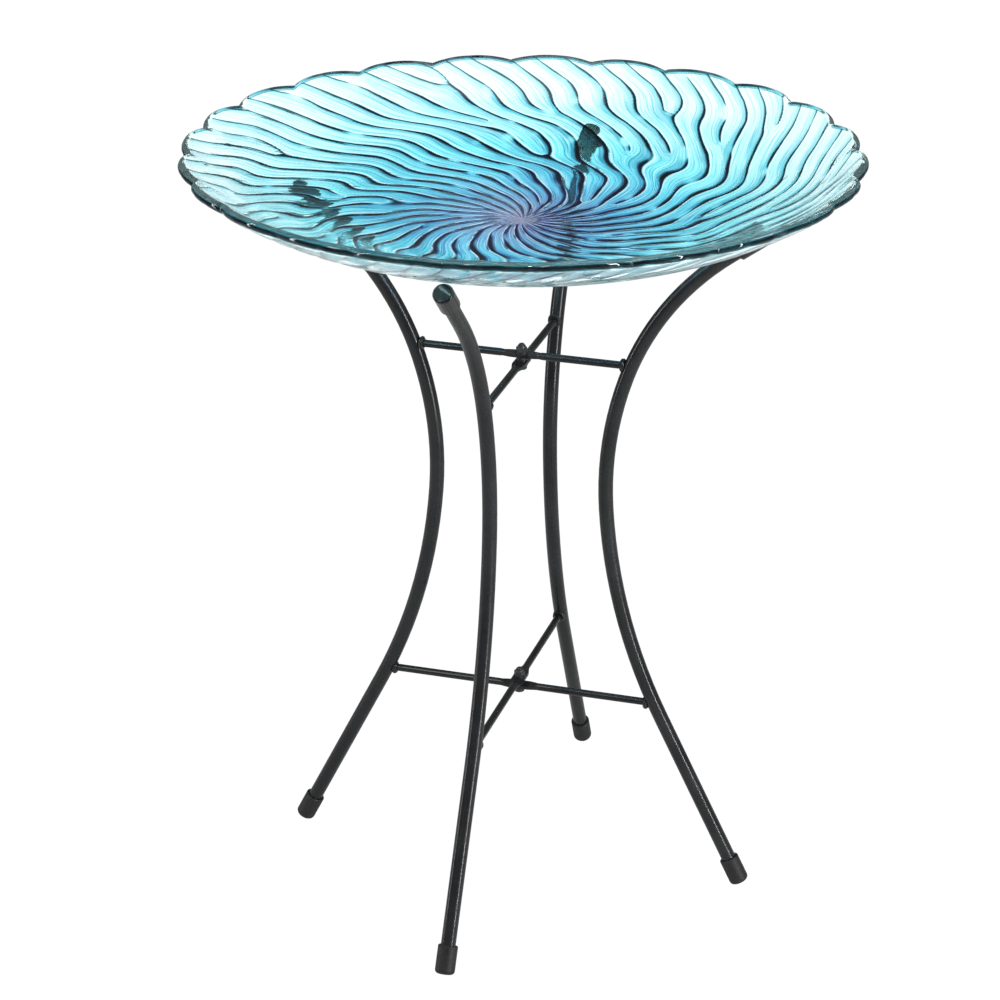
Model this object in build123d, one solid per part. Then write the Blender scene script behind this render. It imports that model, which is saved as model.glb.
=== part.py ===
from build123d import *
import os
from math import sin, cos, radians, pi, atan2, degrees, sqrt

os.makedirs("parts", exist_ok=True)

# Bird bath: a pressed-glass bowl lying on a folding stand of two bent-tube frames.
# Units are millimetres. +Z is up, the floor is z = 0, the stand's axis is the Z axis.
# Frame A lies in the XZ plane (left and right legs), frame B in the YZ plane
# (front leg at -Y, back leg at +Y).

# ---- driving dimensions ------------------------------------------------------
tube_od = 10.3            # leg tube, outside diameter
tube_wall = 1.0
foot_r_a = 166.8          # leg centre line at the floor, frame A
foot_r_b = 180.3          # frame B is the wider one, so frame A nests inside it
lean_deg = 26.58          # lean of the straight lower run from the vertical
run_low = 139.7           # length of that straight run from z = 0
bend_r = (413.9, 253.7, 195.7)       # three tangent bends, from the bottom up
bend_deg_a = (22.58, 22.26, 35.53)
bend_deg_b = (22.58, 22.26, 29.00)
run_top_a = 25.3          # straight run up to the outside of the top cap
run_top_b = 49.8

cap_od = 13.8             # push-on end caps
cap_len = 20.0
cap_end = 2.6             # thickness of a cap's closed end
cap_round = 2.8
foot_clip = 0.5           # worn flat under a foot

rod_d = 5.2               # crossbar rod
tab_t = 2.2               # flattened middle of a crossbar
tab_w = 9.4
tab_half = 10.5           # half length of the full-width tab
tab_flare = 16.5          # where the flattening ends
bolt_d = 4.0
hole_fit = 2.05           # hole radius in the tab that the bolt is tight in
hole_run = 2.09           # hole radius in the tab that turns on the bolt
z_up_a, z_up_b = 388.4, 382.8        # centre heights of the crossbars
z_lo_a, z_lo_b = 135.3, 140.9
run_gap = 0.1             # play on the faces that turn

bowl_z0 = 480.0           # underside of the bowl on the axis
bowl_c = 16.0             # underside z = bowl_z0 + bowl_c (r / bowl_rc) ** bowl_n
bowl_rc = 162.4
bowl_n = 3.33
glass_t = 5.6
rim_tip_r = 228.6         # 18 in across the scallop tips
rim_notch_r = 222.8
scallops = 24
scallop_phase = 11.0      # azimuth of one scallop tip, degrees
rim_t = 6.6               # thickness of the rounded rim


def under(r):
    return bowl_z0 + bowl_c * (r / bowl_rc) ** bowl_n


# ---- leg centre line -----------------------------------------------------------
def leg_path(foot_r, bends, top):
    """Points of the centre line in the (r, z) plane: list of segments."""
    a = radians(lean_deg)                  # lean from vertical, leaning inwards
    p = (foot_r, 0.0)
    segs = []
    q = (p[0] - sin(a) * run_low, p[1] + cos(a) * run_low)
    segs.append(("line", p, q, a))
    p = q
    for rad, deg in zip(bend_r, bends):
        th = radians(deg)
        c = (p[0] + rad * cos(a), p[1] + rad * sin(a))
        m = (c[0] - rad * cos(a - th / 2), c[1] - rad * sin(a - th / 2))
        q = (c[0] - rad * cos(a - th), c[1] - rad * sin(a - th))
        segs.append(("arc", p, m, q))
        p, a = q, a - th
    q = (p[0] - sin(a) * top, p[1] + cos(a) * top)
    segs.append(("line", p, q, a))
    return segs


def at(p, az):
    return Vector(p[0] * cos(radians(az)), p[0] * sin(radians(az)), p[1])


def tube(segs, az, radius, bottom_trim, top_trim):
    """Solid round bar along the leg's centre line, trimmed at both ends."""
    edges = []
    n = len(segs)
    for i, s in enumerate(segs):
        if s[0] == "line":
            p, q, a = s[1], s[2], s[3]
            if i == 0:
                p = (p[0] - sin(a) * bottom_trim, p[1] + cos(a) * bottom_trim)
            if i == n - 1:
                q = (q[0] + sin(a) * top_trim, q[1] - cos(a) * top_trim)
            edges.append(Edge.make_line(at(p, az), at(q, az)))
        else:
            edges.append(Edge.make_three_point_arc(at(s[1], az), at(s[2], az), at(s[3], az)))
    path = Wire(edges)
    start = edges[0] @ 0
    tan = edges[0] % 0
    section = Plane(origin=start, z_dir=tan) * Circle(radius)
    return sweep(section, path=path)


def end_cap(tip, axis, bore_r, rounding):
    """Push-on cap. tip is the middle of its closed end, axis points into the leg."""
    r = cap_od / 2
    lip = 0.6
    prof = Polyline((0, 0), (r, 0), (r, cap_len - lip), (r - lip, cap_len), (bore_r, cap_len),
                    (bore_r, cap_end), (0, cap_end), close=True)
    face = make_face(Plane.XZ * prof)
    body = revolve(face, axis=Axis.Z)
    rim = [e for e in body.edges().filter_by(GeomType.CIRCLE)
           if abs(e.radius - r) < 1e-3 and abs(e.center().Z) < 1e-3]
    body = fillet(rim, rounding)
    return Plane(origin=tip, z_dir=axis).location * body


segs_a = leg_path(foot_r_a, bend_deg_a, run_top_a)
segs_b = leg_path(foot_r_b, bend_deg_b, run_top_b)

parts = {}
solid_leg = {}
lean = radians(lean_deg)
# a foot cap's closed end starts this far up, so that its rounded edge just passes the floor
foot_face_z = cap_round - cap_round * cos(lean) + (cap_od / 2 - cap_round) * sin(lean) - foot_clip
foot_up = foot_face_z / cos(lean)
floor_cut = Box(900, 900, 60, align=(Align.CENTER, Align.CENTER, Align.MAX))

for name, segs, az in (("right", segs_a, 0), ("left", segs_a, 180),
                       ("front", segs_b, 270), ("back", segs_b, 90)):
    bot = foot_up + cap_end
    outer = tube(segs, az, tube_od / 2, bot, cap_end)
    inner = tube(segs, az, tube_od / 2 - tube_wall, bot - 1, cap_end - 1)
    parts[name + "_leg"] = outer - inner
    solid_leg[name] = tube(segs, az, tube_od / 2 + 0.02, bot, cap_end)
    # foot cap
    p0 = segs[0][1]
    tip = at((p0[0] - sin(lean) * foot_up, cos(lean) * foot_up), az)
    up = at((-sin(lean), cos(lean)), az)
    cap = end_cap(tip, up, tube_od / 2 + 0.03, cap_round)
    parts[name + "_foot_cap"] = cap - floor_cut
    # top cap
    a = segs[-1][3]
    tip = at(segs[-1][2], az)
    down = at((sin(a), -cos(a)), az)
    parts[name + "_top_cap"] = end_cap(tip, down, tube_od / 2 + 0.03, 1.6)


# ---- crossbars -----------------------------------------------------------------
def leg_r(segs, z):
    """Radius of the centre line at height z."""
    for s in segs:
        if s[0] == "line":
            p, q = s[1], s[2]
            if p[1] <= z <= q[1]:
                return p[0] + (q[0] - p[0]) * (z - p[1]) / (q[1] - p[1])
        else:
            p, m, q = s[1], s[2], s[3]
            if p[1] <= z <= q[1]:
                # circle through the three points
                ax, ay, bx, by, cx, cy = *p, *m, *q
                d = 2 * (ax * (by - cy) + bx * (cy - ay) + cx * (ay - by))
                ux = ((ax**2 + ay**2) * (by - cy) + (bx**2 + by**2) * (cy - ay) + (cx**2 + cy**2) * (ay - by)) / d
                uy = ((ax**2 + ay**2) * (cx - bx) + (bx**2 + by**2) * (ax - cx) + (cx**2 + cy**2) * (bx - ax)) / d
                rad = sqrt((ax - ux) ** 2 + (ay - uy) ** 2)
                return ux - sqrt(rad**2 - (z - uy) ** 2)
    return 0.0


def crossbar(z, half, hole_r, az, legs):
    """Round rod, pressed flat and drilled in the middle, coped to the two legs."""
    rod = Cylinder(rod_d / 2, 2 * half, rotation=(0, 90, 0))
    # flattening: wedges above and below, from the full rod to the tab's faces
    k = rod_d / 2
    for s in (1, -1):
        w = Polyline((-tab_flare, s * k), (-tab_half, s * tab_t / 2), (tab_half, s * tab_t / 2),
                     (tab_flare, s * k), (tab_flare, s * (k + 2)), (-tab_flare, s * (k + 2)), close=True)
        rod -= extrude(make_face(Plane.XZ * w), amount=12, both=True)
    tab = Polyline((-tab_flare, -rod_d / 2 + 0.15), (-tab_half, -tab_w / 2 + 0.7), (-tab_half + 3.5, -tab_w / 2),
                   (tab_half - 3.5, -tab_w / 2), (tab_half, -tab_w / 2 + 0.7), (tab_flare, -rod_d / 2 + 0.15),
                   (tab_flare, rod_d / 2 - 0.15), (tab_half, tab_w / 2 - 0.7), (tab_half - 3.5, tab_w / 2),
                   (-tab_half + 3.5, tab_w / 2), (-tab_half, tab_w / 2 - 0.7), (-tab_flare, rod_d / 2 - 0.15), close=True)
    plate = extrude(make_face(Plane.XY * tab), amount=tab_t / 2, both=True)
    bar = rod + plate - Cylinder(hole_r, 12)
    bar = Pos(0, 0, z) * Rot(0, 0, az) * bar
    for l in legs:
        bar -= solid_leg[l]
    return bar


def keep_biggest(shape):
    s = sorted(shape.solids(), key=lambda q: q.volume)
    return s[-1]


bars = {}
for node, z, segs, az, hole, legs in (
        ("upper_crossbar_a", z_up_a, segs_a, 0, hole_fit, ("left", "right")),
        ("lower_crossbar_a", z_lo_a, segs_a, 0, hole_fit, ("left", "right")),
        ("upper_crossbar_b", z_up_b, segs_b, 90, hole_run, ("front", "back")),
        ("lower_crossbar_b", z_lo_b, segs_b, 90, hole_run, ("front", "back"))):
    half = leg_r(segs, z) - 0.5
    bars[node] = keep_biggest(crossbar(z, half, hole, az, legs))
    parts[node] = bars[node]


# ---- weld fillets where the rods meet the legs ----------------------------------
def bead(z, segs, az, leg, bar):
    """Ring of weld metal round the rod's end, against the tube."""
    r0 = leg_r(segs, z)
    lean_here = atan2(leg_r(segs, z + 4) - leg_r(segs, z - 4), 8.0)
    ring = Torus(rod_d / 2 + 0.5, 1.75)
    blob = Plane(origin=at((r0 - tube_od / 2 / cos(lean_here) - 0.3, z), az),
                 z_dir=at((-1, 0), az)).location * ring
    blob = blob - solid_leg[leg]
    blob = blob - Plane(origin=at((0, z), az), z_dir=at((1, 0), az)).location * Pos(0, 0, r0 / 2) * Cylinder(rod_d / 2 + 0.02, r0 + 20)
    return keep_biggest(blob)


for node, segs, pairs in (
        ("weld_beads_a", segs_a, ((z_up_a, 0, "right", "upper_crossbar_a"), (z_up_a, 180, "left", "upper_crossbar_a"),
                                  (z_lo_a, 0, "right", "lower_crossbar_a"), (z_lo_a, 180, "left", "lower_crossbar_a"))),
        ("weld_beads_b", segs_b, ((z_up_b, 270, "front", "upper_crossbar_b"), (z_up_b, 90, "back", "upper_crossbar_b"),
                                  (z_lo_b, 270, "front", "lower_crossbar_b"), (z_lo_b, 90, "back", "lower_crossbar_b")))):
    parts[node] = Compound([bead(z, segs, az, leg, bar) for z, az, leg, bar in pairs])


# ---- pivot hardware --------------------------------------------------------------
def hexagon(af, h):
    return extrude(RegularPolygon(af / 2, 6, major_radius=False), amount=h)


def washer(z_low, t, r_out, r_in):
    return Pos(0, 0, z_low) * extrude(Circle(r_out) - Circle(r_in), amount=t)


washer_t = 0.8
head_h = 2.8
nut_h = 4.6


def pivot(prefix, low_tab, high_tab, low_runs):
    """One pivot: bolt from below, lock nut on top, spacer between the two tabs."""
    lo_bot, lo_top = low_tab - tab_t / 2, low_tab + tab_t / 2
    hi_bot, hi_top = high_tab - tab_t / 2, high_tab + tab_t / 2
    g_lo = run_gap if low_runs else 0.0
    g_hi = 0.0 if low_runs else run_gap
    # washers under the head and under the nut
    w1 = washer(lo_bot - g_lo - washer_t, washer_t, 4.4, bolt_d / 2 + 0.15)
    w2 = washer(hi_top + g_hi, washer_t, 4.4, bolt_d / 2 + 0.15)
    # spacer between the tabs, tight against the tab of frame A
    s_lo, s_hi = lo_top + g_lo, hi_bot - g_hi
    parts[prefix + "_spacer"] = washer(s_lo, s_hi - s_lo, 3.6, bolt_d / 2 + 0.1)
    # bolt
    z_head = lo_bot - g_lo - washer_t
    z_nut = hi_top + g_hi + washer_t
    head = Pos(0, 0, z_head - head_h) * hexagon(7.0, head_h)
    cone = Pos(0, 0, z_head - head_h) * extrude(Circle(3.5), amount=head_h, taper=-22)
    head = head & cone
    shank = Pos(0, 0, z_head) * extrude(Circle(bolt_d / 2), amount=z_nut + nut_h + 1.3 - z_head)
    tip = shank.edges().filter_by(GeomType.CIRCLE).sort_by(Axis.Z)[-1]
    shank = chamfer(tip, 0.4)
    parts[prefix + "_pivot_bolt"] = head + shank
    # lock nut with a round collar
    nut = Pos(0, 0, z_nut) * (hexagon(7.0, nut_h - 1.4) + Pos(0, 0, nut_h - 1.4) * extrude(Circle(3.05), amount=1.4, taper=14))
    parts[prefix + "_lock_nut"] = nut - Pos(0, 0, z_nut - 1) * Cylinder(bolt_d / 2 + 0.02, 40)
    return [w1, w2]


ws = pivot("upper", z_up_b, z_up_a, True) + pivot("lower", z_lo_a, z_lo_b, False)
parts["pivot_washers"] = Compound([w.solid() if hasattr(w, "solid") else w for w in ws])


# ---- glass bowl --------------------------------------------------------------------
# underside, rounded rim, then the upper face back to the axis
slope = bowl_c * bowl_n / bowl_rc * (rim_tip_r / bowl_rc) ** (bowl_n - 1)
ang = atan2(slope, 1.0)
rr = rim_tip_r - rim_t / 2 * (1 - sin(ang))      # where the underside meets the rounded edge
low_pts = [(r, under(r)) for r in (0, 25, 50, 75, 100, 120, 140, 160, 180, 195, 210, rr)]
end_low = low_pts[-1]
nx, nz = -sin(ang), cos(ang)
end_up = (end_low[0] + nx * rim_t, end_low[1] + nz * rim_t)
mid = (end_low[0] + nx * rim_t / 2 + cos(ang) * rim_t / 2, end_low[1] + nz * rim_t / 2 + sin(ang) * rim_t / 2)
up_pts = []
for r, z in low_pts[:-1]:
    t = glass_t
    sl = bowl_c * bowl_n / bowl_rc * (max(r, 1e-6) / bowl_rc) ** (bowl_n - 1)
    b = atan2(sl, 1.0)
    up_pts.append((r - sin(b) * t, z + cos(b) * t))
up_pts = [(0.0, bowl_z0 + glass_t)] + up_pts[1:]
low = Spline([(r, 0, z) for r, z in low_pts], tangents=[(1, 0, 0), (cos(ang), 0, sin(ang))])
up = Spline([(r, 0, z) for r, z in up_pts + [end_up]], tangents=[(1, 0, 0), (cos(ang), 0, sin(ang))])
rim = ThreePointArc((end_low[0], 0, end_low[1]), (mid[0], 0, mid[1]), (end_up[0], 0, end_up[1]))
axis_edge = Line((0, 0, bowl_z0 + glass_t), (0, 0, bowl_z0))
outline = Wire([low.edge(), rim.edge(), up.edge(), axis_edge.edge()])
dish = revolve(Face(outline), axis=Axis.Z)

# scalloped edge: arcs through the tips, meeting in the notches
arcs = []
step = 360.0 / scallops
for k in range(scallops):
    a0 = radians(scallop_phase + (k - 0.5) * step)
    a1 = radians(scallop_phase + k * step)
    a2 = radians(scallop_phase + (k + 0.5) * step)
    arcs.append(Edge.make_three_point_arc(
        Vector(rim_notch_r * cos(a0), rim_notch_r * sin(a0), 400),
        Vector(rim_tip_r * cos(a1), rim_tip_r * sin(a1), 400),
        Vector(rim_notch_r * cos(a2), rim_notch_r * sin(a2), 400)))
prism = extrude(Face(Wire(arcs)), amount=200, dir=(0, 0, 1))
parts["glass_bowl"] = dish & prism

for name, shape in parts.items():
    export_step(shape, "parts/" + name + ".step")
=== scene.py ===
import bpy, bmesh, math
import numpy as np
from mathutils import Vector, Matrix


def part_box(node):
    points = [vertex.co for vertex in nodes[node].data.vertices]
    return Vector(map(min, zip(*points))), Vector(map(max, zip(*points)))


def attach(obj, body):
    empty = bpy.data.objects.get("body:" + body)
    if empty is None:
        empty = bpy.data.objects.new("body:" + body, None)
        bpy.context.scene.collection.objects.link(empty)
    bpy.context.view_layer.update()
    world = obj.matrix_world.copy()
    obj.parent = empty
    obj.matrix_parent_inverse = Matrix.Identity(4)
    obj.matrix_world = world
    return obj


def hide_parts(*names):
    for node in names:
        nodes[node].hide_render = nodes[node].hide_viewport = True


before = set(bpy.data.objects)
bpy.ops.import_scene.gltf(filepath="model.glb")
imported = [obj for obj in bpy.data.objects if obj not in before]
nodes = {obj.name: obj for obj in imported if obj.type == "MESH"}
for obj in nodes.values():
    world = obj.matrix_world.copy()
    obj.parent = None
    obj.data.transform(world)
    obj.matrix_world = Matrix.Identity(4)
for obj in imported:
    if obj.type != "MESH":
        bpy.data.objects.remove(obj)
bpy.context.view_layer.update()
sc = bpy.context.scene
sc.view_settings.view_transform = "Standard"

# ------------------------------------------------------------------ node helpers
def new_mat(name):
    m = bpy.data.materials.new(name)
    m.use_nodes = True
    nt = m.node_tree
    nt.nodes.clear()
    out = nt.nodes.new("ShaderNodeOutputMaterial")
    return m, nt, out


def N(nt, kind, **kw):
    n = nt.nodes.new(kind)
    for k, v in kw.items():
        setattr(n, k, v)
    return n


def L(nt, a, b):
    nt.links.new(a, b)


def math_node(nt, op, a, b=None, c=None, clamp=False):
    n = N(nt, "ShaderNodeMath", operation=op, use_clamp=clamp)
    for i, v in enumerate((a, b, c)):
        if v is None:
            continue
        if isinstance(v, (int, float)):
            n.inputs[i].default_value = v
        else:
            L(nt, v, n.inputs[i])
    return n.outputs[0]


def ramp(nt, fac, stops, interp="EASE"):
    n = N(nt, "ShaderNodeValToRGB")
    n.color_ramp.interpolation = interp
    el = n.color_ramp.elements
    while len(el) > 1:
        el.remove(el[-1])
    el[0].position = stops[0][0]
    el[0].color = (*stops[0][1], 1)
    for p, c in stops[1:]:
        e = el.new(p)
        e.color = (*c, 1)
    if fac is not None:
        L(nt, fac, n.inputs[0])
    return n.outputs[0]


def mapr(nt, v, a, b, c, d, smooth=False):
    n = N(nt, "ShaderNodeMapRange", interpolation_type="SMOOTHSTEP" if smooth else "LINEAR")
    for i, x in ((0, v), (1, a), (2, b), (3, c), (4, d)):
        if isinstance(x, (int, float)):
            n.inputs[i].default_value = x
        else:
            L(nt, x, n.inputs[i])
    return n.outputs[0]


def mixc(nt, f, a, b, mode="MIX"):
    n = N(nt, "ShaderNodeMix", data_type="RGBA", blend_type=mode)
    for sock, x in ((n.inputs[0], f), (n.inputs[6], a), (n.inputs[7], b)):
        if isinstance(x, (int, float)):
            sock.default_value = x
        elif isinstance(x, tuple):
            sock.default_value = (*x, 1)
        else:
            L(nt, x, sock)
    return n.outputs[2]


def noise(nt, vec, scale, detail=3.0, rough=0.5, dist=0.0):
    n = N(nt, "ShaderNodeTexNoise")
    n.inputs["Scale"].default_value = scale
    n.inputs["Detail"].default_value = detail
    n.inputs["Roughness"].default_value = rough
    n.inputs["Distortion"].default_value = dist
    L(nt, vec, n.inputs["Vector"])
    return n.outputs["Fac"]


def bump(nt, height, strength, dist):
    n = N(nt, "ShaderNodeBump")
    n.inputs["Strength"].default_value = strength
    n.inputs["Distance"].default_value = dist
    L(nt, height, n.inputs["Height"])
    return n.outputs[0]


def srgb(r, g, b):
    f = lambda c: c / 12.92 if c <= 0.04045 else ((c + 0.055) / 1.055) ** 2.4
    return (f(r), f(g), f(b))


# ------------------------------------------------------------------ metal, rubber, plastic
def paint_mat(name, base=(0.0105, 0.0115, 0.0125), dust=0.5):
    """Satin black powder coat: fine orange peel, faint dust and rubbed spots."""
    m, nt, out = new_mat(name)
    co = N(nt, "ShaderNodeTexCoord").outputs["Object"]
    p = N(nt, "ShaderNodeBsdfPrincipled")
    peel = noise(nt, co, 520.0, 2.0, 0.5)
    grain = noise(nt, co, 2600.0, 1.0, 0.5)
    cloud = noise(nt, co, 22.0, 4.0, 0.6)
    rub = noise(nt, co, 75.0, 5.0, 0.65)
    c = mixc(nt, mapr(nt, cloud, 0.35, 0.7, 0.0, 1.0), base, tuple(min(1, x * 1.9 + 0.003) for x in base))
    c = mixc(nt, math_node(nt, "MULTIPLY", mapr(nt, rub, 0.62, 0.80, 0.0, 1.0), dust), c, (0.045, 0.046, 0.047))
    L(nt, c, p.inputs["Base Color"])
    r = mapr(nt, cloud, 0.3, 0.75, 0.20, 0.30)
    r = math_node(nt, "ADD", r, mapr(nt, rub, 0.55, 0.8, 0.0, 0.12))
    L(nt, r, p.inputs["Roughness"])
    p.inputs["Specular IOR Level"].default_value = 0.30
    p.inputs["Coat Weight"].default_value = 0.15
    p.inputs["Coat Roughness"].default_value = 0.10
    h = math_node(nt, "ADD", peel, math_node(nt, "MULTIPLY", grain, 0.35))
    L(nt, bump(nt, h, 0.07, 0.0004), p.inputs["Normal"])
    L(nt, p.outputs[0], out.inputs["Surface"])
    return m


def rubber_mat(name):
    m, nt, out = new_mat(name)
    co = N(nt, "ShaderNodeTexCoord").outputs["Object"]
    p = N(nt, "ShaderNodeBsdfPrincipled")
    fine = noise(nt, co, 1500.0, 3.0, 0.6)
    scuff = noise(nt, co, 160.0, 5.0, 0.7, 0.4)
    sep = N(nt, "ShaderNodeSeparateXYZ")
    L(nt, co, sep.inputs[0])
    low = mapr(nt, sep.outputs["Z"], 0.0, 0.007, 1.0, 0.0, True)
    dirt = math_node(nt, "MULTIPLY", low, mapr(nt, scuff, 0.4, 0.62, 0.0, 1.0))
    c = mixc(nt, mapr(nt, scuff, 0.4, 0.75, 0.0, 1.0), (0.0075, 0.0078, 0.008), (0.020, 0.020, 0.021))
    c = mixc(nt, math_node(nt, "MULTIPLY", dirt, 0.55), c, (0.075, 0.070, 0.062))
    L(nt, c, p.inputs["Base Color"])
    L(nt, mapr(nt, scuff, 0.3, 0.75, 0.42, 0.66), p.inputs["Roughness"])
    L(nt, bump(nt, fine, 0.25, 0.0004), p.inputs["Normal"])
    L(nt, p.outputs[0], out.inputs["Surface"])
    return m


def gloss_mat(name):
    m, nt, out = new_mat(name)
    co = N(nt, "ShaderNodeTexCoord").outputs["Object"]
    p = N(nt, "ShaderNodeBsdfPrincipled")
    smear = noise(nt, co, 120.0, 4.0, 0.6, 0.6)
    fine = noise(nt, co, 700.0, 2.0, 0.5)
    L(nt, mixc(nt, mapr(nt, smear, 0.4, 0.7, 0.0, 1.0), (0.0045, 0.0052, 0.0058), (0.010, 0.011, 0.012)), p.inputs["Base Color"])
    L(nt, mapr(nt, smear, 0.35, 0.75, 0.05, 0.14), p.inputs["Roughness"])
    p.inputs["Specular IOR Level"].default_value = 0.38
    p.inputs["Coat Weight"].default_value = 0.25
    p.inputs["Coat Roughness"].default_value = 0.04
    L(nt, bump(nt, fine, 0.10, 0.0004), p.inputs["Normal"])
    L(nt, p.outputs[0], out.inputs["Surface"])
    return m


def steel_mat(name, base=(0.085, 0.088, 0.092)):
    """Blackened fastener steel with bright rubbed edges."""
    m, nt, out = new_mat(name)
    co = N(nt, "ShaderNodeTexCoord").outputs["Object"]
    p = N(nt, "ShaderNodeBsdfPrincipled")
    mapn = N(nt, "ShaderNodeMapping")
    mapn.inputs["Scale"].default_value = (1, 1, 9)
    L(nt, co, mapn.inputs[0])
    scr = noise(nt, mapn.outputs[0], 420.0, 4.0, 0.65)
    blot = noise(nt, co, 260.0, 4.0, 0.6)
    c = mixc(nt, mapr(nt, blot, 0.42, 0.68, 0.0, 1.0), tuple(x * 0.4 for x in base), base)
    c = mixc(nt, mapr(nt, scr, 0.60, 0.74, 0.0, 0.8), c, (0.40, 0.41, 0.42))
    L(nt, c, p.inputs["Base Color"])
    L(nt, mapr(nt, blot, 0.35, 0.7, 0.0, 1.0), p.inputs["Metallic"])
    L(nt, mapr(nt, scr, 0.3, 0.75, 0.46, 0.24), p.inputs["Roughness"])
    L(nt, bump(nt, scr, 0.3, 0.0003), p.inputs["Normal"])
    L(nt, p.outputs[0], out.inputs["Surface"])
    return m


PAINT = paint_mat("powder_coat_black")
PAINT_ROD = paint_mat("powder_coat_rod", base=(0.0085, 0.0092, 0.010), dust=0.8)
WELD = paint_mat("powder_coat_weld", base=(0.013, 0.0135, 0.0145), dust=0.9)
RUBBER = rubber_mat("foot_rubber_black")
GLOSS = gloss_mat("cap_plastic_black")
STEEL = steel_mat("fastener_dark_steel")
STEEL2 = steel_mat("fastener_nut_steel", base=(0.12, 0.122, 0.126))


def dress(node, mat, angle=32):
    o = nodes[node]
    if o.data.materials:
        for i in range(len(o.data.materials)):
            o.data.materials[i] = mat
    else:
        o.data.materials.append(mat)
    o.data.shade_smooth()
    o.data.set_sharp_from_angle(angle=math.radians(angle))


for n in nodes:
    if n.endswith("_leg"):
        dress(n, PAINT)
    elif "crossbar" in n:
        dress(n, PAINT_ROD)
    elif n.endswith("foot_cap"):
        dress(n, RUBBER)
    elif n.endswith("top_cap"):
        dress(n, GLOSS)
    elif n.endswith("lock_nut"):
        dress(n, STEEL2)
    elif n.endswith(("bolt", "spacer", "washers")):
        dress(n, STEEL)
    elif n.startswith("weld"):
        dress(n, WELD)

# ------------------------------------------------------------------ weld beads with ripples and lumps
from mathutils import noise as mn


def lumpy(node, body):
    src = nodes[node]
    me_w = src.data.copy()
    ob = bpy.data.objects.new("lumpy_" + node, me_w)
    sc.collection.objects.link(ob)
    rm = ob.modifiers.new("remesh", "REMESH")
    rm.mode = "VOXEL"
    rm.voxel_size = 0.00034
    dg = bpy.context.evaluated_depsgraph_get()
    me_n = bpy.data.meshes.new_from_object(ob.evaluated_get(dg))
    ob.modifiers.clear()
    ob.data = me_n
    me_n.name = "lumpy_" + node
    me_n.materials.clear()
    me_n.materials.append(WELD)
    nrm_v = [v.normal.copy() for v in me_n.vertices]
    for v, n_ in zip(me_n.vertices, nrm_v):
        c = v.co
        a = mn.noise(c * 330.0) * 0.00042 + mn.noise(c * 900.0) * 0.00016
        # ripples left by the torch, around the rod
        rr = math.hypot(c.x, c.y)
        a += 0.00009 * math.sin(rr * 2 * math.pi / 0.0011)
        v.co = c + n_ * (a - 0.00004)
    me_n.shade_smooth()
    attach(ob, body)
    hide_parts(node)
    return ob


lumpy("weld_beads_a", "frame_a")
lumpy("weld_beads_b", "frame_b")

# ------------------------------------------------------------------ the glass bowl
RT = 0.2286
Z0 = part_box("glass_bowl")[0].z
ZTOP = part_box("glass_bowl")[1].z
rng = np.random.default_rng(11)


def under(r):
    return Z0 + 0.016 * (r / 0.1624) ** 3.33


def slope(r):
    return 0.016 * 3.33 / 0.1624 * (r / 0.1624) ** 2.33


def sstep(x, a, b):
    t = np.clip((x - a) / (b - a), 0, 1)
    return t * t * (3 - 2 * t)


# forks of the ridge pattern: where a line starts (+1) or ends (-1) on the way out
forks = []


def put(count, sign, r0, r1, gap, rng=rng):
    tries = 0
    while count and tries < 4000:
        tries += 1
        r = math.sqrt(rng.uniform(r0**2, r1**2))
        a = rng.uniform(0, 2 * math.pi)
        x, y = r * math.cos(a), r * math.sin(a)
        if all((x - q[0]) ** 2 + (y - q[1]) ** 2 > gap**2 for q in forks):
            forks.append((x, y, sign))
            count -= 1


put(8, +1, 0.028, 0.076, 0.016, np.random.default_rng(3))
put(9, +1, 0.088, 0.140, 0.030)
put(20, +1, 0.142, 0.212, 0.026)
N0 = 24
rk = np.linspace(0, 0.24, 1201)
count_r = N0 + sum(s * sstep(rk, math.hypot(x, y) - 0.01, math.hypot(x, y) + 0.01) for x, y, s in forks)
lean_r = np.radians(np.interp(rk, [0, 0.015, 0.05, 0.09, 0.14, 0.20, 0.24], [0, 6, 21, 34, 41, 50, 53]))
dth = np.tan(lean_r) / np.maximum(rk, 0.012)
THETA = np.concatenate([[0], np.cumsum((dth[1:] + dth[:-1]) / 2 * np.diff(rk))])
RADPH = np.concatenate([[0], np.cumsum(((dth * count_r)[1:] + (dth * count_r)[:-1]) / 2 * np.diff(rk))])
waves = [(rng.uniform(0, 2 * math.pi), rng.uniform(0.018, 0.05), rng.uniform(0, 6.28)) for _ in range(16)]


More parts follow.
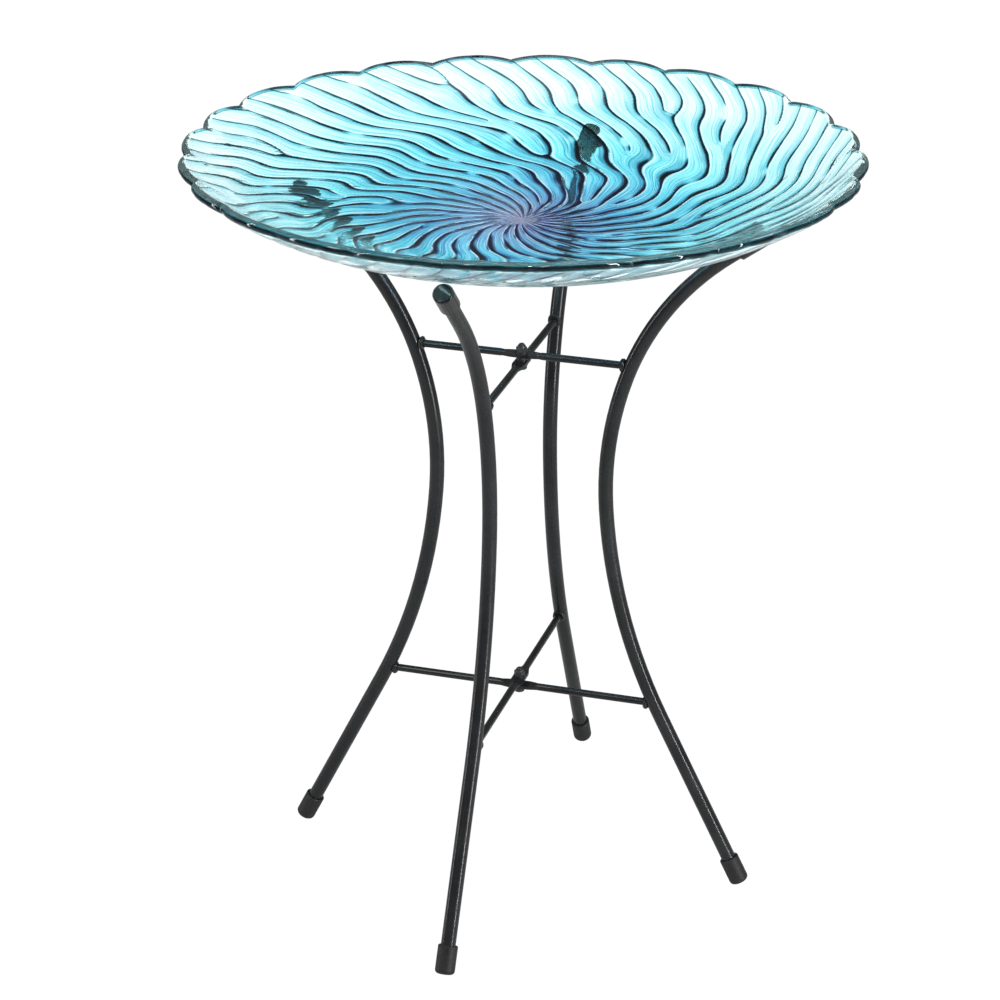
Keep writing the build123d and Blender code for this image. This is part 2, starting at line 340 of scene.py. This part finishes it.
def fields(x, y):
    """Phase of the ridges, strength of the lines, at plan points."""
    r = np.hypot(x, y)
    th = np.arctan2(y, x)
    n_here = np.interp(r, rk, count_r)
    amp_w = 0.0060 * sstep(r, 0.045, 0.125) * (1 - 0.40 * sstep(r, 0.18, 0.23))
    ps = th - np.interp(r, rk, THETA)
    ph_w = 1.9 * np.sin(ps + 0.6) + 1.2 * np.sin(3 * ps + 2.1) + 0.5 * np.sin(5 * ps + 4.0)
    w = np.sin(2 * math.pi * r / 0.060 + ph_w) + 0.20 * np.sin(2 * math.pi * r / 0.033 + 2 * ph_w + 3 * ps)
    phase = N0 * th - np.interp(r, rk, RADPH) - n_here * w * amp_w / np.maximum(r, 0.03)
    for fx, fy, s in forks:
        phase = phase + s * np.arctan2(y - fy, x - fx)
    a = np.zeros_like(r)
    for d, lam, p0 in waves:
        a = a + np.sin(2 * math.pi * (x * math.cos(d) + y * math.sin(d)) / lam + p0)
    a = 0.62 + a / 4 * 0.33
    # a line fades where it forks
    for fx, fy, s in forks:
        q = np.hypot(x - fx, y - fy)
        a = a * (1 - 0.9 * np.exp(-(q / 0.0045) ** 2))
    a = np.clip(a, 0.04, 1.0) * sstep(r, 0.002, 0.022)
    return phase, a


def groove(t, lo=0.085, hi=0.20):
    w = np.where(t < 0, lo, hi)
    return np.exp(-(t / w) ** 2)


NT = 720
SC = 24
PH0 = math.radians(11.0)
jit = rng.uniform(-0.035, 0.035, SC)
dep = rng.uniform(0.8, 1.12, SC)


def edge_r(th):
    """Radius of the scalloped edge: arcs that meet in rounded notches."""
    k = (th - PH0) / (2 * math.pi / SC)
    i = np.floor(k + 0.5)
    u = (k - i) * 2
    j = i.astype(int) % SC
    u = np.clip(u + jit[j] * (1 - u**2), -1, 1)
    d = 0.0062 * dep[j]
    f = np.sqrt(np.maximum(0.0, u * u + 0.0016)) - 0.04
    return (RT - 0.00005) - d * f**2.1


th0 = np.arange(NT) * 2 * math.pi / NT
ROW_T = 78
ROW_B = 43
HALF = 0.0033
verts, attr_c, attr_s, attr_a, attr_r, attr_e = [], [], [], [], [], []


def ring(rho, top):
    """One ring of the upper or lower face. rho runs from 0 at the axis to 1 at the start of the rounded edge."""
    base = rho * (RT - 0.00142)
    th = th0 + np.interp(base, rk, THETA)
    er = edge_r(th)
    r = base + (er - RT) * sstep(np.full(NT, rho), 0.80, 1.0)
    x, y = r * np.cos(th), r * np.sin(th)
    ph, a = fields(x, y)
    t = (ph / (2 * math.pi) + 0.5) % 1.0 - 0.5
    g = groove(t) * a * (1 - 0.55 * sstep(np.full(NT, rho), 0.86, 1.0))
    z = under(r)
    # the edge dips a little less at each notch than the wall's slope would give
    lift = 0.0016 * sstep(np.full(NT, rho), 0.86, 1.0) * np.clip((RT - er) / 0.0058, 0, 1)
    if top:
        sl = slope(r)
        b = np.arctan(sl)
        thick = 0.0056 + 0.0010 * sstep(np.full(NT, rho), 0.9, 1.0)
        x2 = (r - np.sin(b) * thick) * np.cos(th)
        y2 = (r - np.sin(b) * thick) * np.sin(th)
        z2 = z + np.cos(b) * thick - 0.00035 * g + lift
        return x2, y2, z2, ph, a, r
    return x, y, z + 0.00120 * g + lift + 0.00004, ph, a, r


def push(x, y, z, ph, a, r, e=0.0):
    i = len(verts)
    verts.extend(zip(x, y, z))
    attr_c.extend(np.cos(ph))
    attr_s.extend(np.sin(ph))
    attr_a.extend(a)
    attr_r.extend(r / RT)
    attr_e.extend(np.full(len(x), e))
    return i


rings = []
top_rho = np.concatenate([np.linspace(0.010, 0.12, 9)[:-1], np.linspace(0.12, 1.0, ROW_T - 8)])
bot_rho = np.concatenate([np.linspace(0.012, 0.12, 6)[:-1], np.linspace(0.12, 1.0, ROW_B - 5)])
for rho in top_rho:
    rings.append(push(*ring(rho, True)))
n_top = len(rings)
# rounded edge
xt, yt, zt, ph1, a1, r1 = ring(1.0, True)
xb, yb, zb, _, _, rb = ring(1.0, False)
th_e = np.arctan2(yb, xb)
er_e = edge_r(th_e)
rt_ = np.hypot(xt, yt)
cx, cz = (rt_ + rb) / 2, (zt + zb) / 2
for k in (0.12, 0.26, 0.40, 0.52, 0.62, 0.70, 0.76, 0.84, 0.92):
    ang = math.pi * k
    half_vec_r, half_vec_z = (rt_ - rb) / 2, (zt - zb) / 2
    hl = np.hypot(half_vec_r, half_vec_z)
    # outward direction in the r-z plane, normal to the half vector
    ox, oz = half_vec_z / hl, -half_vec_r / hl
    reach = hl
    r_ = cx + half_vec_r * math.cos(ang) + ox * reach * math.sin(ang)
    z_ = cz + half_vec_z * math.cos(ang) + oz * reach * math.sin(ang)
    r_ = np.minimum(r_, er_e)
    rings.append(push(r_ * np.cos(th_e), r_ * np.sin(th_e), np.minimum(z_, ZTOP - 0.00003), ph1, a1, np.full(NT, RT), k))
n_rim = len(rings)
for rho in bot_rho[::-1]:
    rings.append(push(*ring(rho, False)))
n_all = len(rings)
c_top = len(verts)
verts.append((0, 0, Z0 + 0.0056)); attr_c.append(1); attr_s.append(0); attr_a.append(0); attr_r.append(0); attr_e.append(0)
c_bot = len(verts)
verts.append((0, 0, Z0 + 0.00005)); attr_c.append(1); attr_s.append(0); attr_a.append(0); attr_r.append(0); attr_e.append(0)

faces, fmat = [], []
idx = np.arange(NT)
nxt = (idx + 1) % NT
for k in range(n_all - 1):
    a0, b0 = rings[k], rings[k + 1]
    m_id = 0 if k < n_top - 1 else (2 if k < n_rim else 1)
    for i, j in zip(idx, nxt):
        faces.append((a0 + i, b0 + i, b0 + j, a0 + j))
        fmat.append(m_id)
for i, j in zip(idx, nxt):
    faces.append((c_top, rings[0] + i, rings[0] + j)); fmat.append(0)
    faces.append((c_bot, rings[-1] + j, rings[-1] + i)); fmat.append(1)

me = bpy.data.meshes.new("glass_dish")
me.from_pydata([tuple(map(float, v)) for v in verts], [], faces)
me.polygons.foreach_set("material_index", np.array(fmat, np.int32))
for nm, data in (("ridge_c", attr_c), ("ridge_s", attr_s), ("ridge_a", attr_a), ("rad", attr_r), ("edge", attr_e)):
    at_ = me.attributes.new(nm, "FLOAT", "POINT")
    at_.data.foreach_set("value", np.array(data, np.float32))
me.validate()
me.update()
me.shade_smooth()
dish = bpy.data.objects.new("glass_dish", me)
sc.collection.objects.link(dish)
bm = bmesh.new()
bm.from_mesh(me)
bmesh.ops.recalc_face_normals(bm, faces=bm.faces)
bm.to_mesh(me)
bm.free()


def attr(nt, name):
    n = N(nt, "ShaderNodeAttribute", attribute_name=name)
    n.attribute_type = "GEOMETRY"
    return n.outputs["Fac"]


BASE = [(0.00, srgb(0.62, 0.62, 0.74)), (0.07, srgb(0.58, 0.66, 0.80)), (0.16, srgb(0.52, 0.74, 0.88)),
        (0.30, srgb(0.44, 0.83, 0.95)), (0.44, srgb(0.44, 0.90, 0.975)), (0.60, srgb(0.56, 0.965, 0.99)),
        (0.76, srgb(0.78, 0.99, 0.995)), (0.88, srgb(0.93, 0.998, 0.998)), (1.0, srgb(0.97, 1.0, 1.0))]
BLUE = [(0.00, srgb(0.44, 0.40, 0.60)), (0.06, srgb(0.20, 0.26, 0.56)), (0.16, srgb(0.02, 0.22, 0.55)),
        (0.38, srgb(0.01, 0.38, 0.64)), (0.62, srgb(0.04, 0.56, 0.72)), (0.80, srgb(0.28, 0.76, 0.84)),
        (1.0, srgb(0.66, 0.89, 0.91))]
DARK = [(0.00, srgb(0.30, 0.27, 0.42)), (0.08, srgb(0.12, 0.13, 0.36)), (0.20, srgb(0.0, 0.10, 0.30)),
        (0.42, srgb(0.0, 0.05, 0.15)), (0.66, srgb(0.0, 0.05, 0.12)), (0.86, srgb(0.01, 0.15, 0.21)),
        (1.0, srgb(0.22, 0.46, 0.50))]


def deepen(nt, c):
    """One crossing of a coloured face takes the square root of its colour, so the tint is squared."""
    g = N(nt, "ShaderNodeGamma")
    g.inputs[1].default_value = 2.0
    L(nt, c, g.inputs[0])
    return g.outputs[0]


def glass(name, kind):
    m, nt, out = new_mat(name)
    co = N(nt, "ShaderNodeTexCoord").outputs["Object"]
    c_, s_, a_, rad = attr(nt, "ridge_c"), attr(nt, "ridge_s"), attr(nt, "ridge_a"), attr(nt, "rad")
    wob = noise(nt, co, 60.0, 3.0, 0.55)
    ang = math_node(nt, "ARCTAN2", s_, c_)
    t = math_node(nt, "MULTIPLY", ang, 1 / (2 * math.pi))
    t = math_node(nt, "ADD", t, mapr(nt, wob, 0.0, 1.0, -0.05, 0.05))
    thin = math_node(nt, "MULTIPLY", mapr(nt, rad, 0.50, 1.0, 1.0, 0.36), mapr(nt, rad, 0.30, 0.50, 1.32, 1.0))
    w2 = math_node(nt, "MULTIPLY", mapr(nt, a_, 0.1, 1.0, 0.08, 0.37), thin)
    w1 = math_node(nt, "MULTIPLY", mapr(nt, a_, 0.1, 1.0, 0.020, 0.050), -1.0)
    live = mapr(nt, a_, 0.10, 0.42, 0.0, 1.0, True)
    e1 = mapr(nt, t, w1, 0.0, 0.0, 1.0, True)
    e2 = mapr(nt, t, math_node(nt, "MULTIPLY", w2, 0.35), w2, 1.0, 0.0, True)
    line = math_node(nt, "MULTIPLY", math_node(nt, "MULTIPLY", e1, e2), live)
    base, blue, dark = ramp(nt, rad, BASE), ramp(nt, rad, BLUE), ramp(nt, rad, DARK)
    # streaks that run along the ridges
    sx = N(nt, "ShaderNodeCombineXYZ")
    L(nt, c_, sx.inputs[0]); L(nt, s_, sx.inputs[1])
    v1 = N(nt, "ShaderNodeVectorMath", operation="SCALE"); L(nt, sx.outputs[0], v1.inputs[0]); v1.inputs[3].default_value = 1.6
    v2 = N(nt, "ShaderNodeVectorMath", operation="SCALE"); L(nt, co, v2.inputs[0]); v2.inputs[3].default_value = 22.0
    v3 = N(nt, "ShaderNodeVectorMath", operation="ADD"); L(nt, v1.outputs[0], v3.inputs[0]); L(nt, v2.outputs[0], v3.inputs[1])
    streak = noise(nt, v3.outputs[0], 1.5, 3.0, 0.56)
    # painted shade: a soft blue gradient down the long flank of each ridge, darker as if the slope were shaded
    flank_painted_shade = mapr(nt, t, 0.02, mapr(nt, streak, 0.3, 0.7, 0.34, 0.86), 1.0, 0.0, True)
    flank_painted_shade = math_node(nt, "MULTIPLY", flank_painted_shade, mapr(nt, t, -0.05, 0.02, 0.0, 1.0, True))
    flank_painted_shade = math_node(nt, "MULTIPLY", flank_painted_shade, live)
    cloud = noise(nt, co, 24.0, 4.0, 0.6, 0.3)
    col = mixc(nt, mapr(nt, cloud, 0.36, 0.70, 0.0, 0.50), base, mixc(nt, 0.55, base, blue))
    col = mixc(nt, mapr(nt, streak, 0.50, 0.67, 0.0, 0.80, True), col, mixc(nt, 0.85, col, blue))
    col = mixc(nt, mapr(nt, streak, 0.48, 0.30, 0.0, 0.65, True), col, mixc(nt, 0.55, col, (0.97, 1.0, 1.0)))
    # mixes the painted flank shade into the colour
    col = mixc(nt, math_node(nt, "MULTIPLY", flank_painted_shade, mapr(nt, rad, 0.05, 0.30, 1.0, 0.88)), col, blue)
    # painted highlight: a near-white band beside the steep side of each ridge, lightening the colour as if the ridge
    # caught the light
    painted_highlight = math_node(nt, "MULTIPLY", mapr(nt, t, -0.16, -0.09, 0.0, 1.0, True), mapr(nt, t, -0.07, -0.03, 1.0, 0.0, True))
    col = mixc(nt, math_node(nt, "MULTIPLY", painted_highlight, 0.55), col, (0.95, 1.0, 1.0))
    col = mixc(nt, line, col, dark)
    ripple = noise(nt, co, 210.0, 3.0, 0.55, 0.9)
    ripm = mapr(nt, noise(nt, co, 17.0, 2.0, 0.5), 0.47, 0.66, 0.10, 1.0, True)
    fine = noise(nt, co, 950.0, 2.0, 0.5)
    h = math_node(nt, "ADD", math_node(nt, "MULTIPLY", ripple, ripm), math_node(nt, "MULTIPLY", fine, 0.05))
    nrm = bump(nt, h, {"top": 0.16, "rim": 0.08, "under": 0.16}[kind], 0.0010)
    p = N(nt, "ShaderNodeBsdfPrincipled")
    L(nt, nrm, p.inputs["Normal"])
    p.inputs["Transmission Weight"].default_value = 1.0
    p.inputs["IOR"].default_value = 1.40
    L(nt, mapr(nt, ripple, 0.3, 0.8, 0.01, 0.04), p.inputs["Roughness"])
    surf = p.outputs[0]
    tr = N(nt, "ShaderNodeBsdfTransparent")
    if kind == "under":
        p.inputs["Base Color"].default_value = (0.80, 0.970, 0.990, 1)
        tr.inputs[0].default_value = (0.98, 0.995, 1.0, 1)
    elif kind == "rim":
        e_ = attr(nt, "edge")
        # teal of the thick edge plus a painted dark band: the near-black stops around 0.63 to 0.79 stand in for dark
        # surroundings reflected inside the rounded edge
        edge_tint_with_painted_dark_band = ramp(nt, e_, [(0.0, srgb(0.97, 1.0, 1.0)), (0.40, srgb(0.93, 0.99, 0.99)), (0.50, srgb(0.88, 0.98, 0.985)),
                             (0.56, srgb(0.10, 0.36, 0.44)), (0.63, srgb(0.01, 0.10, 0.15)), (0.70, srgb(0.0, 0.07, 0.12)), (0.79, srgb(0.02, 0.16, 0.22)), (0.88, srgb(0.46, 0.80, 0.86)), (1.0, srgb(0.9, 0.98, 0.98))])
        edge_tint_with_painted_dark_band = mixc(nt, mapr(nt, noise(nt, co, 60.0, 3.0, 0.5), 0.35, 0.70, 0.0, 0.22), edge_tint_with_painted_dark_band, srgb(0.62, 0.86, 0.88))
        L(nt, deepen(nt, edge_tint_with_painted_dark_band), p.inputs["Base Color"])
        L(nt, edge_tint_with_painted_dark_band, tr.inputs[0])
    else:
        L(nt, deepen(nt, col), p.inputs["Base Color"])
        L(nt, mixc(nt, 0.78, col, (1.0, 1.0, 1.0)), tr.inputs[0])
        # the fired colour scatters some of the light
        tl = N(nt, "ShaderNodeBsdfTranslucent")
        L(nt, col, tl.inputs[0])
        pig = mapr(nt, rad, 0.50, 0.90, PIG, 0.05)
        mp = N(nt, "ShaderNodeMixShader")
        L(nt, pig, mp.inputs[0]); L(nt, surf, mp.inputs[1]); L(nt, tl.outputs[0], mp.inputs[2])
        surf = mp.outputs[0]
    lp = N(nt, "ShaderNodeLightPath")
    fac = math_node(nt, "MAXIMUM", lp.outputs["Is Shadow Ray"], lp.outputs["Is Diffuse Ray"])
    mx = N(nt, "ShaderNodeMixShader")
    L(nt, fac, mx.inputs[0]); L(nt, surf, mx.inputs[1]); L(nt, tr.outputs[0], mx.inputs[2])
    L(nt, mx.outputs[0], out.inputs["Surface"])
    return m


PIG = 0.16
# the upper face's colour carries painted highlights and painted shade along the ridges
me.materials.append(glass("glass_tinted_upper_face_painted_highlight_and_shade", "top"))
me.materials.append(glass("glass_underside", "under"))
me.materials.append(glass("glass_rounded_edge_painted_dark_band", "rim"))
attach(dish, "bowl")
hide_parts("glass_bowl")

# ------------------------------------------------------------------ camera, floor, light
az = math.radians(16.14)
cam_d = bpy.data.cameras.new("camera")
cam = bpy.data.objects.new("camera", cam_d)
sc.collection.objects.link(cam)
sc.camera = cam
cam_d.sensor_width = 36.0
cam_d.lens = 3128.86 / 1000 * 36.0
cam_d.shift_x = -0.006
cam_d.shift_y = 0.005
cam_d.clip_start, cam_d.clip_end = 0.05, 60
yaw, pitch, roll = math.radians(-0.2927), math.radians(24.0213), math.radians(0.2601)
fwd = Vector((math.sin(yaw) * math.cos(pitch), math.cos(yaw) * math.cos(pitch), -math.sin(pitch)))
right = Vector((math.cos(yaw), -math.sin(yaw), 0))
up = right.cross(fwd)
r2 = right * math.cos(roll) + up * math.sin(roll)
u2 = up * math.cos(roll) - right * math.sin(roll)
spin = Matrix.Rotation(az, 3, "Z")
r2, u2, f2 = spin @ r2, spin @ u2, spin @ fwd
cam.matrix_world = Matrix.Translation(spin @ Vector((0, -1.99229, 1.16347))) @ Matrix((r2, u2, -f2)).transposed().to_4x4()

SEEN, THROUGH = 1.03, 1.38


def stage_level(nt, path, other):
    """Backdrop brightness: white to the camera, brighter through glass, and dim in reflections."""
    a = mapr(nt, path.outputs["Is Camera Ray"], 0.0, 1.0, other, SEEN)
    b = math_node(nt, "MULTIPLY", path.outputs["Is Transmission Ray"], THROUGH - other)
    return math_node(nt, "ADD", a, b)


bpy.ops.mesh.primitive_plane_add(size=40)
floor = bpy.context.object
floor.name = "floor"
m, nt, out = new_mat("floor_white")
d = N(nt, "ShaderNodeBsdfDiffuse"); d.inputs[0].default_value = (0.85, 0.85, 0.85, 1)
e = N(nt, "ShaderNodeEmission"); e.inputs[0].default_value = (1, 1, 1, 1)
lp = N(nt, "ShaderNodeLightPath")
seen = math_node(nt, "MAXIMUM", lp.outputs["Is Camera Ray"], lp.outputs["Is Transmission Ray"])
ad = N(nt, "ShaderNodeMixShader")
L(nt, stage_level(nt, lp, 0.0), e.inputs[1])
L(nt, seen, ad.inputs[0]); L(nt, d.outputs[0], ad.inputs[1]); L(nt, e.outputs[0], ad.inputs[2]); L(nt, ad.outputs[0], out.inputs["Surface"])
floor.data.materials.append(m)

w = bpy.data.worlds.new("studio")
sc.world = w
w.use_nodes = True
bg = w.node_tree.nodes["Background"]
bg.inputs[0].default_value = (1, 1, 1, 1)
wl = N(w.node_tree, "ShaderNodeLightPath")
L(w.node_tree, stage_level(w.node_tree, wl, 0.17), bg.inputs[1])


def softbox(name, pos, target, sx, sy, power):
    ld = bpy.data.lights.new(name, "AREA")
    ld.shape = "RECTANGLE"
    ld.size, ld.size_y, ld.energy = sx, sy, power
    o = bpy.data.objects.new(name, ld)
    sc.collection.objects.link(o)
    o.location = spin @ Vector(pos)
    o.rotation_mode = "QUATERNION"
    o.rotation_quaternion = (spin @ Vector(target) - o.location).to_track_quat("-Z", "Y")
    return o


softbox("key", (-1.3, -1.5, 1.9), (0, 0, 0.35), 0.5, 1.2, 13)
softbox("strip_right", (1.30, -1.05, 0.75), (0, 0, 0.30), 0.07, 1.9, 26)
softbox("strip_left", (-1.6, -0.1, 0.8), (0, 0, 0.30), 0.10, 1.6, 8)
softbox("top", (0.2, 0.5, 2.4), (0, 0, 0.5), 1.2, 0.8, 6)
